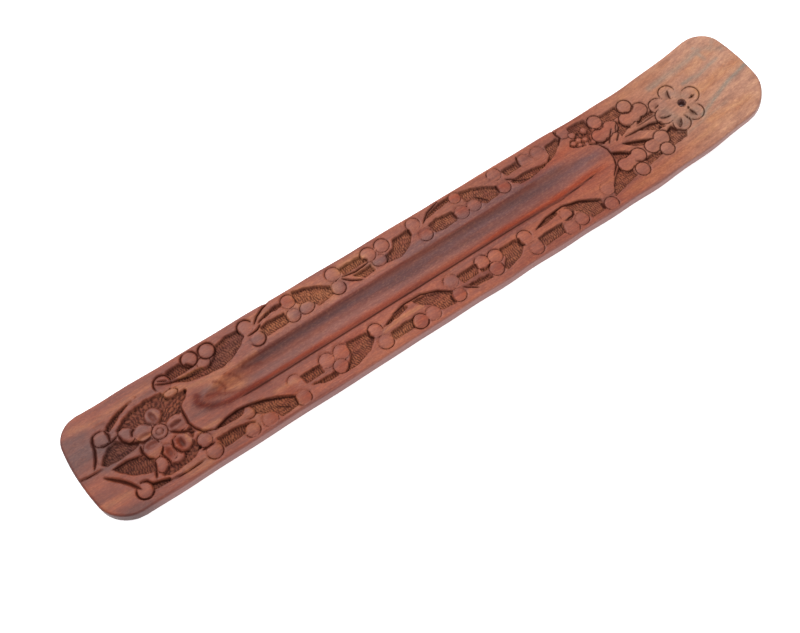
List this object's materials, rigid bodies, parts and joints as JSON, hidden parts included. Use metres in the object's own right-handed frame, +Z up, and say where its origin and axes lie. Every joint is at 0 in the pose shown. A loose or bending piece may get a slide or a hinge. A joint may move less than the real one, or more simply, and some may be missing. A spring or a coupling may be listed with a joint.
{
  "type": "incense burner",
  "caption": "Carved hardwood incense stick burner: a long flat board with a shallow ash trough, carved floral borders and a raised end with a slanted stick hole.",
  "frame": {"origin": "middle of the bounding box, at the level of the surface that the board lies on", "axes": "+X along the board from the near end to the raised end, +Y across it, +Z up"},
  "size_m": [0.2522, 0.0364, 0.0154],
  "materials": {
    "wood": "satin, lightly waxed"
  },
  "bodies": {
    "root": {"carved_board": "wood"}
  },
  "joints": []
}
